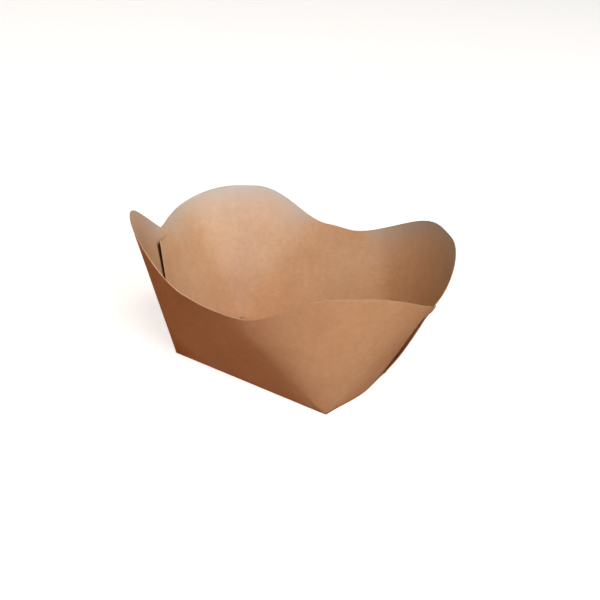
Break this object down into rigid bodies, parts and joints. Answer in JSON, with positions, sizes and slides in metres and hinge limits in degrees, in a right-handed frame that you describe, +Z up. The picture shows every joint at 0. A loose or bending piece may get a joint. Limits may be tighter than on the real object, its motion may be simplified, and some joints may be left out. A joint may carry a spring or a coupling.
{
  "type": "paper food tray",
  "caption": "Open food tray folded from one sheet of kraft board, with flared walls, rounded ears and lobes, and ends locked by hooked slits.",
  "frame": {"origin": "on the ground under the middle of the base, which is also under the middle of the whole tray", "axes": "+X along the two long folds of the base, +Y across the base towards the back wall, +Z up"},
  "size_m": [0.1726, 0.1496, 0.08],
  "materials": {
    "kraft_board": "thin satin coating, paler fibres at the cut edges"
  },
  "bodies": {
    "root": {"tray": "kraft_board"}
  },
  "joints": []
}
